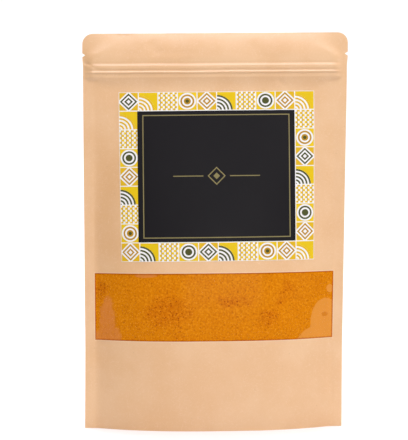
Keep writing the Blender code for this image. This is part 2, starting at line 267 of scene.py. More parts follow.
# On the powder's front, in millimetres across and up: ovals with a centre and a size. Crumbly clumps, patches
# of dust and painted reflection on the film at the left and at the right, and a small gap in them.
POWDER_CLUMPS = (
    ((-27.9, 70.8), (12.0, 9.0)),
    ((11.4, 77.2), (9.0, 3.5)),
    ((43.2, 84.7), (3.0, 4.4)),
    ((40.2, 80.2), (2.6, 3.4)),
    ((37.4, 76.3), (2.5, 2.5)),
    ((31.0, 67.8), (5.2, 4.6)),
    ((-68.0, 84.0), (3.5, 5.0)),
)
RED_DUST_AND_SHEEN_OVALS = (
    ((-64.8, 63.6), (4.8, 15.7)),
    ((-64.2, 53.9), (7.9, 8.5)),
    ((-42.0, 92.6), (6.5, 1.2)),
)
PALE_DUST_AND_SHEEN_OVALS = (
    ((66.8, 63.0), (9.6, 15.0)),
    ((63.6, 49.5), (15.5, 12.5)),
    ((69.7, 83.8), (2.1, 2.4)),
)
DUST_AND_SHEEN_GAP = (((66.3, 68.3), (2.0, 1.4)),)

# The size of the swells in the ovals' edges.
PATCH_WANDER = 5.0

# Dark grains in the powder: the size of a cell in millimetres, the grain's radius as a share of it, the
# share of cells with a grain, and how dark it is.
POWDER_SPECKS = (
    (1.6, 0.36, 0.50, 0.24),
    (2.4, 0.28, 0.45, 0.32),
)

# The same for the grains that lie in the crumbly clumps alone.
POWDER_CRUMBS = (1.25, 0.42, 0.75, 0.40)

# The same four numbers for the faint and the strong specks in the paper.
KRAFT_SPECKS = (
    (5.5, 0.07, 0.45, 0.16),
    (19.0, 0.032, 0.26, 0.85),
)

# Fibres in the paper: how they lie, how much longer than wide they are, and their length in millimetres.
KRAFT_FIBRE_TURNS = (0.4, 1.5, 2.6)
KRAFT_FIBRE_SQUEEZE = 6.0
KRAFT_FIBRE_SIZE = 2.2

# The paper's gloss, and the painted highlight round the window, where the paper's raised cut edge would catch
# the light: its width in millimetres and how strong it is.
KRAFT_GLOSS = 1.0
KRAFT_IOR = 1.6
RIM_HIGHLIGHT_WIDTH = 0.9
RIM_HIGHLIGHT_STRENGTH = 0.38

# Albedos, as sRGB.
KRAFT = (0.864, 0.686, 0.496)
KRAFT_DARK = (0.846, 0.654, 0.450)
KRAFT_FIBRE = (0.900, 0.750, 0.600)
KRAFT_SPECK = (0.420, 0.290, 0.190)
CUT_EDGE = (0.960, 0.890, 0.790)
# The painted highlight round the window's cut edge.
PAINTED_RIM_HIGHLIGHT = (0.965, 0.820, 0.640)
POWDER = (0.822, 0.488, 0.018)
POWDER_DEEP = (0.765, 0.415, 0.030)
POWDER_GRAIN = (0.690, 0.290, 0.002)
POWDER_DARK = (0.590, 0.205, 0.004)
POWDER_PALE = (0.890, 0.585, 0.105)
# Dust on the film and painted reflection, pale and reddish.
POWDER_DUST_AND_SHEEN = (0.862, 0.572, 0.240)
POWDER_RED_DUST_AND_SHEEN = (0.830, 0.510, 0.240)
PRINT_WHITE = (0.895, 0.888, 0.880)
PRINT_MUSTARD = (0.830, 0.670, 0.120)
PRINT_OCHRE = (0.690, 0.520, 0.110)
PRINT_OLIVE = (0.290, 0.300, 0.150)
PRINT_YELLOW = (0.855, 0.720, 0.090)
PRINT_BLACK = (0.098, 0.091, 0.102)
PRINT_GOLD = (0.520, 0.480, 0.320)
ZIP_PLASTIC = (0.880, 0.870, 0.830)
FLOOR_PALE = (0.925, 0.925, 0.925)
FLOOR_PALEST = (0.940, 0.940, 0.940)
FLOOR_GREY = (0.750, 0.750, 0.750)

# The floor's ends and half width, the radius of its curve up into the wall, and the wall's height.
FLOOR_FRONT = -1.6
FLOOR_BACK = 0.9
FLOOR_HALF_WIDTH = 2.5
FLOOR_CURVE = 0.6
WALL_HEIGHT = 2.4

# Before the pouch the floor turns from grey to pale between these places, in millimetres.
FLOOR_FADE = (-320.0, -100.0)

# The lamps that look at the pouch's middle: the angles right of its front and above the level, with the
# distance, then the size, the power and the colour.
POUCH_MIDDLE = (0.0, 0.0, 0.12)
PLAIN_LIGHT = (1.0, 1.0, 1.0)
LAMPS = (
    ("low_key", (56.0, 14.0, 1.3), (0.7, 0.7), 3.05, PLAIN_LIGHT),
    ("top", (6.0, 66.0, 1.1), (1.0, 0.5), 12.0, (1.0, 0.99, 1.06)),
    ("front_fill", (6.0, 8.0, 1.5), (0.7, 0.5), 3.9, (1.0, 0.985, 0.93)),
    ("left_fill", (-55.0, 25.0, 1.4), (0.8, 0.8), 0.2, PLAIN_LIGHT),
)
WORLD_STRENGTH = 0.10

# The lamp over the floor behind the pouch: its place and target, then the same as above.
BACKDROP_LAMP = ((0.0, 0.85, 1.9), (0.0, 0.95, 0.0), (3.0, 1.6), 50.0, PLAIN_LIGHT)


def clear_scene():
    for obj in list(bpy.data.objects):
        bpy.data.objects.remove(obj)


def linear(colour):
    """Blender's linear value of each sRGB channel, with alpha."""
    channels = [c / 12.92 if c <= 0.04045 else ((c + 0.055) / 1.055) ** 2.4 for c in colour]
    return (*channels, 1.0)


def clamp(share):
    return min(max(share, 0.0), 1.0)


def smooth(share):
    """A soft step from 0 to 1."""
    share = clamp(share)
    return share * share * (3.0 - 2.0 * share)


def blend(low, high, share):
    return low + (high - low) * share


def ripple(across, up, seed):
    """Smooth noise between about -1 and 1, with swells about one unit across and up."""
    return noise.noise(Vector((across, up, seed)))


def half_width(z):
    """Half the bag's width at a height, before its corners are rounded and its notches cut."""
    drawn_in = clamp((FLAT_HEIGHT - z) / (FLAT_HEIGHT - BELLY_HEIGHT))
    flare = FLAP_FLARE * smooth((z - ZIP_HEIGHT) / (NOTCH_HEIGHT - ZIP_HEIGHT))
    return ZIP_HALF_WIDTH - (ZIP_HALF_WIDTH - BASE_HALF_WIDTH) * drawn_in + flare


def edge_half_width(z):
    """Half the width of a panel, with the rounded top corners and the tear notches."""
    edge = half_width(z)
    over = z - (POUCH_HEIGHT - CORNER_RADIUS)
    if over > 0.0:
        edge -= CORNER_RADIUS - math.sqrt(max(CORNER_RADIUS**2 - over**2, 0.0))
    cut = max(1.0 - abs(z - NOTCH_HEIGHT) / NOTCH_HALF_OPENING, 0.0)
    return edge - NOTCH_DEPTH * cut


def seal_inner(z):
    """Half the width between the side seals."""
    return half_width(z) - SIDE_SEAL


def belly_depth(z):
    """How far the filled body stands out along the middle of a panel."""
    if z <= BELLY_HEIGHT:
        below = (BELLY_HEIGHT - z) / BELLY_HEIGHT
        return BELLY_DEPTH - (BELLY_DEPTH - HEM_DEPTH) * below**2
    share = min((z - BELLY_HEIGHT) / (FLAT_HEIGHT - BELLY_HEIGHT), 1.0)
    return BELLY_DEPTH * (1.0 - share**TAPER_POWER) ** TAPER_SOFTNESS


def belly(x, z):
    """How far the filled body stands out at one place: 0 in the side seals, out of which the paper bends."""
    inner = seal_inner(z)
    gap = max(inner - abs(x), 0.0)
    eased = gap**2 / (2.0 * SEAL_BEND) if gap < SEAL_BEND else gap - 0.5 * SEAL_BEND
    across = 1.0 - eased / (inner - 0.5 * SEAL_BEND)
    return belly_depth(z) * (1.0 - across**BELLY_SQUARENESS)


def stack(x, z):
    """Half of what lies between the panels: the model's room in the body, the real layers in the seals."""
    thin = smooth((z - STACK_THINS_FROM) / (STACK_THIN_AT - STACK_THINS_FROM))
    body = blend(LOW_STACK, TOP_STACK, thin)
    web = 1.0 - smooth((z - GUSSET_FOLD) / WEB_EASE)
    sealed = blend(SEALED_HALF, SEALED_HALF_WITH_WEB, web)
    return blend(body, sealed, smooth((abs(x) - seal_inner(z) + SEAL_EASE) / SEAL_EASE))


def zip_relief(z):
    """How far the zip's tracks press the paper out at a height."""
    up = z - ZIP_HEIGHT
    return sum(change * smooth((start - up) / length) for start, length, change in ZIP_STEPS)


def leaned(z):
    """How far right the bag's lean takes a point at a height."""
    return LEAN * (z - LEAN_HEIGHT)


def past_zip_end(x):
    """How far a place lies beyond the end of the zip's strips, which stand upright in the leaning bag."""
    return abs(x + leaned(ZIP_HEIGHT)) - ZIP_HALF_LENGTH


def zip_lift(x, z):
    """How far the zip holds a panel off the middle plane. The paper closes above the zip and below it."""
    wander = ZIP_WANDER * ripple(x / 0.028, 9.0, 2.0)
    top = ZIP_HEIGHT + ZIP_SHOULDER
    bottom = ZIP_HEIGHT - ZIP_SHOULDER
    over = clamp((z - top) / (POUCH_HEIGHT - top))
    under = clamp((bottom - z) / ZIP_LOWER_EASE)
    above, below = 1.0 - over**2, (1.0 - under) ** 2
    fade = ZIP_END_FADE * smooth(max(ZIP_FADE_UPWARDS * over, ZIP_FADE_DOWNWARDS * under))
    along = 1.0 - smooth((past_zip_end(x) - ZIP_END_ROOM + fade) / (ZIP_END_SLOPE + fade))
    return along * ((ZIP_PANEL_INNER - TOP_STACK) * above * below + zip_relief(z + wander))


def zip_room(x, z):
    """The least stand of a panel over the zip's strips, 0 away from them."""
    beside = past_zip_end(x) / ZIP_ROOM_EASE
    above = (abs(z - ZIP_HEIGHT) - ZIP_STRIP_HALF_HEIGHT) / ZIP_ROOM_EASE
    return ZIP_ROOM * (1.0 - smooth(beside)) * (1.0 - smooth(above))


def crease(x, z, start, end, width, depth):
    """A dent of a depth along a line from start to end, fading out at both ends."""
    along_x, along_z = end[0] - start[0], end[1] - start[1]
    length = math.hypot(along_x, along_z)
    share = ((x - start[0]) * along_x + (z - start[1]) * along_z) / length**2
    away = abs((x - start[0]) * along_z - (z - start[1]) * along_x) / length
    fade = smooth(share / CREASE_FADE) * smooth((1.0 - share) / CREASE_FADE)
    return -depth * fade * math.exp(-((away / width) ** 2))


def relief(x, z, seed):
    """Small dents and swells in the paper: broad in the body, streaky in the flap."""
    inside = smooth((seal_inner(z) - abs(x)) / 0.012)
    body = smooth((0.205 - z) / 0.02)
    broad = ripple(x / 0.034, z / 0.046, seed) * BODY_RELIEF * body
    fine = ripple(x / 0.012, z / 0.017, seed + 7.0) * FINE_RELIEF
    flap = smooth((z - 0.2225) / 0.004)
    streaks = ripple(x / 0.016, z / 0.040, seed + 3.0) * FLAP_RELIEF * flap
    dip = -DIP_DEPTH * math.exp(-(((z - DIP_HEIGHT) / DIP_HALF_HEIGHT) ** 2))
    return inside * (broad + fine + dip) + streaks + 0.4 * fine


def sway(x, z):
    """How far all the sheets together wave forwards or back: the side seals' edges and the flap."""
    out = smooth((abs(x) - seal_inner(z) + 0.004) / 0.010)
    edge = ripple(math.copysign(4.0, x), z / 0.030, 11.0) * EDGE_SWAY * out
    flap = smooth((z - 0.2215) / 0.016)
    bend = ripple(x / 0.060, 2.0, 5.0) * FLAP_SWAY * flap
    start = ZIP_HEIGHT + ZIP_SHOULDER
    up_flap = max(z - start, 0.0) / (POUCH_HEIGHT - start)
    lean = 0.5 * FLAP_LEAN * (up_flap + up_flap**2)
    return edge * smooth(z / 0.03) + bend + lean


def panel_stand(x, z, creases, seed):
    """Distance of a panel's inner face from the middle plane."""
    pressed = sum(crease(x, z, *line) for line in creases)
    stand = stack(x, z) + belly(x, z) + zip_lift(x, z) + relief(x, z, seed) + pressed
    return max(stand, stack(x, z) * 0.9, zip_room(x, z))


def front_stand(x, z):
    return panel_stand(x, z, FRONT_CREASES, 1.0)


def back_stand(x, z):
    return panel_stand(x, z, BACK_CREASES, 23.0)


def front_point(x, z, out):
    """A point that lies out beyond the front panel's inner face."""
    return (x, sway(x, z) - front_stand(x, z) - out, z)


def back_point(x, z, out):
    return (x, sway(x, z) + back_stand(x, z) + out, z)


def spread(low, high, step):
    """Even places from low to high, about step apart."""
    count = max(round((high - low) / step), 1)
    return [low + (high - low) * i / count for i in range(count + 1)]


def joined(*runs):
    """Runs of places put end to end, with each shared end once."""
    places = list(runs[0])
    for run in runs[1:]:
        places += run[1:]
    return places


def panel_rows():
    """Heights of a panel's rows, closest over the zip, at the notches and round the corners."""
    lows = (0.0, *(end for end, _ in PANEL_RUNS))
    runs = [spread(low, end, step) for low, (end, step) in zip(lows, PANEL_RUNS)]
    turns = [0.5 * math.pi * i / CORNER_STEPS for i in range(CORNER_STEPS + 1)]
    corner = [POUCH_HEIGHT - CORNER_RADIUS * (1.0 - math.sin(turn)) for turn in turns]
    return joined(*runs, corner)


def panel_columns(z):
    """Places across a panel, with the window's sides and the side seals' inner edges on columns."""
    edge = edge_half_width(z)
    inner = min(seal_inner(z), edge - LEAST_SEAL)
    reach = inner - WINDOW_INSET
    body = [reach * (2.0 * i / BODY_STEPS - 1.0) for i in range(BODY_STEPS + 1)]
    seal = [inner + (edge - inner) * i / SEAL_STEPS for i in range(SEAL_STEPS + 1)]
    return [-x for x in reversed(seal)] + body + seal


def skewed(point):
    """A point of the bag as it lies once the bag's skew and lean are in it."""
    x, y, z = point
    return (x + leaned(z), y, z + SKEW * x * smooth(z / SKEW_HEIGHT))


def mesh_object(name, points, faces, slots, materials, sharp=40.0):
    """An object from points and faces, each with its material's number, without unused points."""
    used = sorted({i for face in faces for i in face})
    place = {old: new for new, old in enumerate(used)}
    mesh = bpy.data.meshes.new(name)
    mesh.from_pydata([skewed(points[i]) for i in used], [], [[place[i] for i in face] for face in faces])
    mesh.polygons.foreach_set("material_index", slots)
    made = bmesh.new()
    made.from_mesh(mesh)
    bmesh.ops.recalc_face_normals(made, faces=made.faces)
    made.to_mesh(mesh)
    made.free()
    for each in materials:
        mesh.materials.append(each)
    mesh.shade_smooth()
    mesh.set_sharp_from_angle(angle=math.radians(sharp))
    obj = bpy.data.objects.new(name, mesh)
    bpy.context.scene.collection.objects.link(obj)
    return obj


def sheet(name, outer, inner, materials, is_hole=None):
    """A thin closed sheet between two grids of points. Its rims have the second material."""
    rows, columns = len(outer), len(outer[0])
    points = [point for row in outer for point in row] + [point for row in inner for point in row]
    behind = rows * columns
    cells = {
        (row, column)
        for row in range(rows - 1)
        for column in range(columns - 1)
        if not (is_hole and is_hole(row, column))
    }
    faces, slots = [], []
    for row, column in sorted(cells):
        start = row * columns + column
        ring = [start, start + 1, start + columns + 1, start + columns]
        beyond = [(row - 1, column), (row, column + 1), (row + 1, column), (row, column - 1)]
        faces.append(ring)
        faces.append([behind + i for i in reversed(ring)])
        slots += [0, 0]
        for side in range(4):
            if beyond[side] not in cells:
                a, b = ring[side], ring[(side + 1) % 4]
                faces.append([a, behind + a, behind + b, b])
                slots.append(len(materials) - 1)
    return mesh_object(name, points, faces, slots, materials)


def loft(name, sections, materials):
    """A closed solid through sections with the same number of points."""
    count = len(sections[0])
    points = [point for section in sections for point in section]
    faces = []
    for ring in range(len(sections) - 1):
        for i in range(count):
            j = (i + 1) % count
            low, high = ring * count, (ring + 1) * count
            faces.append([low + i, low + j, high + j, high + i])
    faces.append(list(range(count)))
    faces.append([len(points) - 1 - i for i in range(count)])
    return mesh_object(name, points, faces, [0] * len(faces), materials, sharp=60.0)


def panel_faces(point):
    """A panel's inner and outer face, each as rows of points."""
    rows = panel_rows()
    return [[[point(x, z, out) for x in panel_columns(z)] for z in rows] for out in (0.0, PAPER)]


def front_panel(kraft, cut):
    """The front panel, with the window cut out."""
    rows = panel_rows()
    window_rows = range(rows.index(WINDOW_BOTTOM), rows.index(WINDOW_TOP))
    window_columns = range(SEAL_STEPS + 1, SEAL_STEPS + 1 + BODY_STEPS)

    def in_window(row, column):
        return row in window_rows and column in window_columns

    inner, outer = panel_faces(front_point)
    return sheet("kraft_front", outer, inner, [kraft, cut], is_hole=in_window)


def back_panel(kraft, cut):
    inner, outer = panel_faces(back_point)
    return sheet("kraft_back", outer, inner, [kraft, cut])


def film_dent(x, z):
    """Soft dents in the film, between the places where the powder presses on it."""
    lumps = ripple(x / 0.011, z / 0.009, 41.0)
    ends = smooth((WINDOW_TOP - z) / 0.004) * smooth((z - WINDOW_BOTTOM) / 0.004)
    sides = smooth((seal_inner(z) - abs(x)) / 0.006)
    return FILM_DENT * (lumps - 0.6) * ends * sides


def film_point(x, z, inwards):
    """A point of the film, on its outer face or further inwards."""
    return front_point(x, z, film_dent(x, z) - SKIN - inwards)


def window_film(clear):
    outer, inner = [], []
    for z in spread(WINDOW_BOTTOM - FILM_MARGIN, WINDOW_TOP + FILM_MARGIN, FINE_STEP):
        reach = seal_inner(z) + 0.5 * SIDE_SEAL
        columns = [reach * (2.0 * i / FILM_COLUMNS - 1.0) for i in range(FILM_COLUMNS + 1)]
        outer.append([film_point(x, z, 0.0) for x in columns])
        inner.append([film_point(x, z, FILM) for x in columns])
    return sheet("clear_window", outer, inner, [clear])


def gusset_seal_top(x):
    """Height at which the gusset's web leaves the panels: low in the middle, up at the side seals."""
    across = min(abs(x) / seal_inner(0.0), 1.0)
    return GUSSET_FLANGE + (GUSSET_FOLD - GUSSET_FLANGE) * across**GUSSET_SEAL_POWER


def gusset_crown(x):
    """Height of the top of the web's arch."""
    across = min(abs(x) / seal_inner(0.0), 1.0)
    return GUSSET_CROWN + (GUSSET_SIDE_CROWN - GUSSET_CROWN) * across**GUSSET_SEAL_POWER


def gusset_arch(x, steps, first=0.0):
    """The web's arch at one place across the bag, as (y, z), from front to back, from a first angle on."""
    top = gusset_seal_top(x)
    front = front_point(x, top, -WEB_OFFSET)[1]
    back = back_point(x, top, -WEB_OFFSET)[1]
    middle, reach = 0.5 * (front + back), 0.5 * (back - front)
    rise = gusset_crown(x) - top
    pucker = ripple(x / 0.020, 3.0, 17.0) * GUSSET_PUCKER * smooth((0.055 - abs(x)) / 0.02)
    arch = []
    for step in range(steps + 1):
        angle = first + (math.pi - 2.0 * first) * step / steps
        away = math.copysign(abs(math.cos(angle)) ** (2.0 / GUSSET_ARCH_POWER), -math.cos(angle))
        up = abs(math.sin(angle)) ** (2.0 / GUSSET_ARCH_POWER)
        arch.append((middle + away * reach, top + (rise + pucker) * up))
    return arch


def gusset_path(x):
    """The web's middle line: up the front panel, over the arch and down the back panel."""
    top = gusset_seal_top(x)
    steps = GUSSET_FOOT_STEPS
    feet = [GUSSET_LIFT + (top - GUSSET_LIFT) * step / steps for step in range(steps)]
    front = [front_point(x, z, -WEB_OFFSET)[1:] for z in feet]
    back = [back_point(x, z, -WEB_OFFSET)[1:] for z in reversed(feet)]
    return [*front, *gusset_arch(x, GUSSET_ARCH_STEPS), *back]


def offset_path(path, distance):
    """A line in the Y-Z plane moved sideways, to its left if the distance is positive."""
    moved = []
    for i, (y, z) in enumerate(path):
        before = path[max(i - 1, 0)]
        after = path[min(i + 1, len(path) - 1)]
        along_y, along_z = after[0] - before[0], after[1] - before[1]
        length = math.hypot(along_y, along_z)
        moved.append((y - distance * along_z / length, z + distance * along_y / length))
    return moved


def bottom_gusset(kraft, cut):
    columns = spread(-BASE_HALF_WIDTH, BASE_HALF_WIDTH, GUSSET_STEP)
    outer, inner = [], []
    for x in columns:
        path = gusset_path(x)
        outer.append([(x, y, z) for y, z in offset_path(path, 0.5 * PAPER)])
        inner.append([(x, y, z) for y, z in offset_path(path, -0.5 * PAPER)])
    return sheet("kraft_gusset", outer, inner, [kraft, cut])


def powder_front(x, z):
    """The powder's front, pressed to the film in most places."""
    lumps = 0.5 + 0.5 * ripple(x / 0.0040, z / 0.0036, 61.0)
    grit = 0.5 + 0.5 * ripple(x / 0.0011, z / 0.0010, 67.0)
    off_seal = smooth((seal_inner(z) - abs(x)) / 0.004)
    room = 0.04 + 0.96 * off_seal
    _, y, _ = film_point(x, z, FILM)
    return y + room * (POWDER_OFF_FILM + POWDER_LUMPS * lumps + POWDER_GRIT * grit)


def powder_back(x, z):
    return back_point(x, z, -POWDER_OFF_BACK)[1]


def powder_foot(x):
    """The powder's underside: a line over the web, from where there is room for powder beside it."""
    top = gusset_seal_top(x)
    reach = 0.5 * (back_stand(x, top) + front_stand(x, top)) - WEB_OFFSET
    room = 0.5 * (powder_back(x, top) - powder_front(x, top)) - POWDER_OFF_WEB - POWDER_EDGE
    share = max(room / reach, POWDER_LEAST_FOOT)
    first = math.acos(share ** (0.5 * GUSSET_ARCH_POWER))
    return offset_path(gusset_arch(x, POWDER_FOOT_STEPS, first), POWDER_OFF_WEB)


def powder_across(share, z):
    """A place across the powder, from -1 in the left seal's edge to 1 in the right's."""
    return share * (seal_inner(z) - POWDER_TO_SEAL)


def powder_section(share):
    """The powder's outline at one share of the way across the bag. It follows the side seals up."""
    low_x, top_x = powder_across(share, 0.0), powder_across(share, POWDER_HEIGHT)
    mound = ripple(top_x / 0.030, 1.0, 71.0) * POWDER_MOUND_WANDER
    top = POWDER_HEIGHT + POWDER_MOUND * (1.0 - share**2) + mound
    foot = powder_foot(low_x)
    low = max(foot[0][1], foot[-1][1]) + POWDER_SHOULDER
    window_low, window_top = WINDOW_BOTTOM - POWDER_WINDOW_MARGIN, WINDOW_TOP + POWDER_WINDOW_MARGIN
    back_heights = spread(low, top, POWDER_COARSE_ROWS)
    front_heights = joined(
        spread(low, window_low, POWDER_LOW_ROWS),
        spread(window_low, window_top, POWDER_WINDOW_ROWS),
        spread(window_top, top, POWDER_COARSE_ROWS),
    )
    points = [(low_x, y, z) for y, z in foot]
    for z in back_heights:
        x = powder_across(share, z)
        points.append((x, powder_back(x, z), z))
    for z in reversed(front_heights):
        x = powder_across(share, z)
        points.append((x, powder_front(x, z), z))
    return points


def resampled(section, count):
    """A closed section with points added at the middle of its longest sides, up to a count."""
    points = list(section)
    while len(points) < count:
        sides = [(Vector(a), Vector(b)) for a, b in zip(points, points[1:] + points[:1])]
        lengths = [(a - b).length for a, b in sides]
        longest = lengths.index(max(lengths))
        a, b = sides[longest]
        points.insert(longest + 1, tuple((a + b) * 0.5))
    return points


def turmeric_fill(powder):
    """The powder, through sections with the same number of points."""
    sections = [powder_section(2.0 * i / POWDER_STEPS - 1.0) for i in range(POWDER_STEPS + 1)]
    count = max(len(section) for section in sections)
    return loft("turmeric_fill", [resampled(section, count) for section in sections], [powder])


def label_place(a, b):
    """Where a point of the flat label lies on the bag. Down the swelling body its sides draw in."""
    down = clamp(0.5 - b / LABEL_SIZE[1])
    beside = math.copysign(abs(2.0 * a / LABEL_SIZE[0]) ** LABEL_DRAWN_ACROSS, a)
    drawn = a - LABEL_DRAWN_IN * down**LABEL_DRAWN_DOWN * beside
    x = LABEL_CENTRE[0] + drawn * math.cos(LABEL_TURN) - b * math.sin(LABEL_TURN)
    z = LABEL_CENTRE[1] + drawn * math.sin(LABEL_TURN) + b * math.cos(LABEL_TURN)
    return (x - leaned(z), z)


def label_sheet(printed, edge):
    across = spread(-0.5 * LABEL_SIZE[0], 0.5 * LABEL_SIZE[0], FINE_STEP)
    up = spread(-0.5 * LABEL_SIZE[1], 0.5 * LABEL_SIZE[1], FINE_STEP)
    outer, inner = [], []
    for b in up:
        places = [label_place(a, b) for a in across]
        inner.append([front_point(x, z, PAPER + LABEL_LIFT) for x, z in places])
        outer.append([front_point(x, z, PAPER + LABEL_LIFT + LABEL_THICKNESS) for x, z in places])
    return sheet("label_sticker", outer, inner, [printed, edge])


class Graph:
    """One material, with short calls that add nodes and give back their output sockets."""

    def __init__(self, name, roughness):
        self.material = bpy.data.materials.new(name)
        self.material.use_nodes = True
        self.tree = self.material.node_tree
        self.shader = self.tree.nodes["Principled BSDF"]
        self.shader.inputs["Roughness"].default_value = roughness

    def feed(self, node, inputs):
        """Links a node's inputs to sockets, or sets their numbers or colours."""
        for key, value in inputs.items():
            if isinstance(value, bpy.types.NodeSocket):
                self.tree.links.new(value, node.inputs[key])
            else:
                node.inputs[key].default_value = value

    def node(self, kind, inputs, **settings):
        """A new node's outputs."""
        made = self.tree.nodes.new(kind)
        for key, value in settings.items():
            setattr(made, key, value)
        self.feed(made, inputs)
        return made.outputs

    def math(self, operation, first, second=0.0):
        return self.node("ShaderNodeMath", {0: first, 1: second}, operation=operation)[0]

    def add(self, first, second):
        return self.math("ADD", first, second)

    def minus(self, first, second):
        return self.math("SUBTRACT", first, second)

    def times(self, first, second):
        return self.math("MULTIPLY", first, second)

    def size(self, value):
        return self.math("ABSOLUTE", value)

    def most(self, first, second):
        return self.math("MAXIMUM", first, second)

    def under(self, value, limit):
        """1 under a limit, 0 elsewhere."""
        return self.math("LESS_THAN", value, limit)

    def over(self, value, limit):
        """1 over a limit, 0 elsewhere."""
        return self.math("GREATER_THAN", value, limit)

    def step(self, value, low, high):
        """0 below low, 1 above high, smooth between."""
        inputs = {"Value": value, "From Min": low, "From Max": high}
        return self.node("ShaderNodeMapRange", inputs, interpolation_type="SMOOTHSTEP")["Result"]

    def mix(self, share, first, second):
        """A colour between two, each a socket or an albedo."""
        ends = [c if isinstance(c, bpy.types.NodeSocket) else linear(c) for c in (first, second)]
        return self.node("ShaderNodeMix", {0: share, 6: ends[0], 7: ends[1]}, data_type="RGBA")[2]

    def tint(self, colour, ink, mask, strength):
        """A colour with an ink laid over it where a mask is 1, at a strength."""
        return self.mix(self.times(mask, strength), colour, ink)

    def split(self, place):
        """The X, Y and Z of a place."""
        return tuple(self.node("ShaderNodeSeparateXYZ", {0: place}))

    def place(self, scale=(1.0, 1.0, 1.0), turn=(0.0, 0.0, 0.0), shift=(0.0, 0.0, 0.0)):
        """Places on the object in millimetres, moved, turned and then scaled."""
        place = self.node("ShaderNodeTexCoord", {})["Object"]
        place = self.node("ShaderNodeVectorMath", {0: place, 1: shift}, operation="ADD")[0]
        inputs = {"Vector": place, "Rotation": turn}
        place = self.node("ShaderNodeVectorRotate", inputs, rotation_type="EULER_XYZ")[0]
        inputs = {0: place, 1: [MM * s for s in scale]}
        return self.node("ShaderNodeVectorMath", inputs, operation="MULTIPLY")[0]

    def noise(self, place, size, detail=2.0, roughness=0.5):
        """Noise with features of about size, in the place's own units."""
        inputs = {"Vector": place, "Scale": 1.0 / size, "Detail": detail, "Roughness": roughness}
        return self.node("ShaderNodeTexNoise", inputs)["Fac"]

    def specks(self, place, size, radius, share):
        """Round specks of a radius, as a share of the cell's size, in a share of the cells."""
        cells = self.node("ShaderNodeTexVoronoi", {"Vector": place, "Scale": 1.0 / size})
        near = self.minus(1.0, self.step(cells["Distance"], 0.6 * radius, radius))
        draw = self.node("ShaderNodeSeparateColor", {0: cells["Color"]})[0]
        return self.times(near, self.under(draw, share))

    def surface(self, colour, height=None, distance=0.0, strength=1.0, gloss=0.5):
        """Gives the shader its colour, its gloss and any bump, and returns the material."""
        self.feed(self.shader, {"Base Color": colour, "Specular IOR Level": gloss})
        if height is not None:
            inputs = {"Strength": strength, "Distance": distance, "Height": height}
            self.feed(self.shader, {"Normal": self.node("ShaderNodeBump", inputs)[0]})
        return self.material


def window_distance(graph, place):
    """How far a place on the front lies outside the window, negative inside it, in millimetres."""
    x, _, z = graph.split(place)
    middle = 0.5 * MM * (WINDOW_BOTTOM + WINDOW_TOP)
    over = graph.minus(graph.minus(z, graph.times(x, SKEW)), middle)
    across = graph.minus(x, graph.add(graph.times(over, LEAN), MM * leaned(middle / MM)))
    half = MM * (seal_inner(middle / MM) - WINDOW_INSET)
    widening = (seal_inner(WINDOW_TOP) - seal_inner(WINDOW_BOTTOM)) / (WINDOW_TOP - WINDOW_BOTTOM)
    beside = graph.minus(graph.size(across), graph.add(graph.times(over, widening), half))
    above = graph.minus(graph.size(over), 0.5 * MM * (WINDOW_TOP - WINDOW_BOTTOM))
    return graph.most(beside, above)


def kraft_fibres(graph):
    """Short fibres that lie three ways."""
    fibre = 0.0
    for turn in KRAFT_FIBRE_TURNS:
        lying = graph.place(scale=(1.0, 1.0, KRAFT_FIBRE_SQUEEZE), turn=(0.0, turn, 0.0))
        fibre = graph.most(fibre, graph.noise(lying, KRAFT_FIBRE_SIZE, detail=1.0))
    return fibre


def kraft_material(name, windowed=False):
    """Kraft paper: cloudy tone, short fibres lying every way, a few dark specks, and a dry satin face."""
    graph = Graph(name, roughness=0.48)
    place = graph.place()
    clouds = graph.noise(place, size=26.0, detail=3.0)
    colour = graph.mix(graph.step(clouds, 0.35, 0.70), KRAFT_DARK, KRAFT)
    fibre = kraft_fibres(graph)
    colour = graph.tint(colour, KRAFT_FIBRE, graph.step(fibre, 0.60, 0.78), strength=0.40)
    grain = graph.noise(place, size=0.55, roughness=0.7)
    colour = graph.tint(colour, KRAFT_SPECK, graph.step(grain, 0.62, 0.85), strength=0.10)
    for size, radius, share, strength in KRAFT_SPECKS:
        colour = graph.tint(colour, KRAFT_SPECK, graph.specks(place, size, radius, share), strength)
    # On the front, a painted highlight: a pale band along the window's cut edge, standing in for light caught
    # by the paper's raised lip.
    if windowed:
        rim = graph.minus(1.0, graph.step(window_distance(graph, place), 0.0, RIM_HIGHLIGHT_WIDTH))
        colour = graph.tint(colour, PAINTED_RIM_HIGHLIGHT, rim, RIM_HIGHLIGHT_STRENGTH)
    graph.shader.inputs["IOR"].default_value = KRAFT_IOR
    tooth = graph.add(graph.times(fibre, 0.6), graph.times(grain, 0.4))
    return graph.surface(colour, tooth, distance=0.00005, strength=0.35, gloss=KRAFT_GLOSS)


def edge_material(name, base, ink, size, strength):
    """The pale cut edge of a sheet."""
    graph = Graph(name, roughness=0.6)
    grain = graph.noise(graph.place(), size)
    return graph.surface(graph.tint(base, ink, grain, strength))


def film_material():
    """Clear film: it lets all through but what its two faces mirror."""
    graph = Graph("clear_film", roughness=0.14)
    graph.shader.inputs["Metallic"].default_value = 1.0
    waves = graph.noise(graph.place(), size=6.0, detail=1.0)
    graph.surface((1.0, 1.0, 1.0, 1.0), waves, distance=0.0001, strength=0.4)
    facing = graph.node("ShaderNodeLayerWeight", {})["Facing"]
    grazing = graph.times(graph.math("POWER", facing, FILM_GRAZING_POWER), FILM_GRAZING_MIRROR)
    through = graph.node("ShaderNodeBsdfTransparent", {})[0]
    inputs = {0: graph.add(grazing, FILM_MIRROR), 1: through, 2: graph.shader.outputs[0]}
    mixed = graph.node("ShaderNodeMixShader", inputs)[0]
    graph.feed(graph.tree.nodes["Material Output"], {"Surface": mixed})
    return graph.material


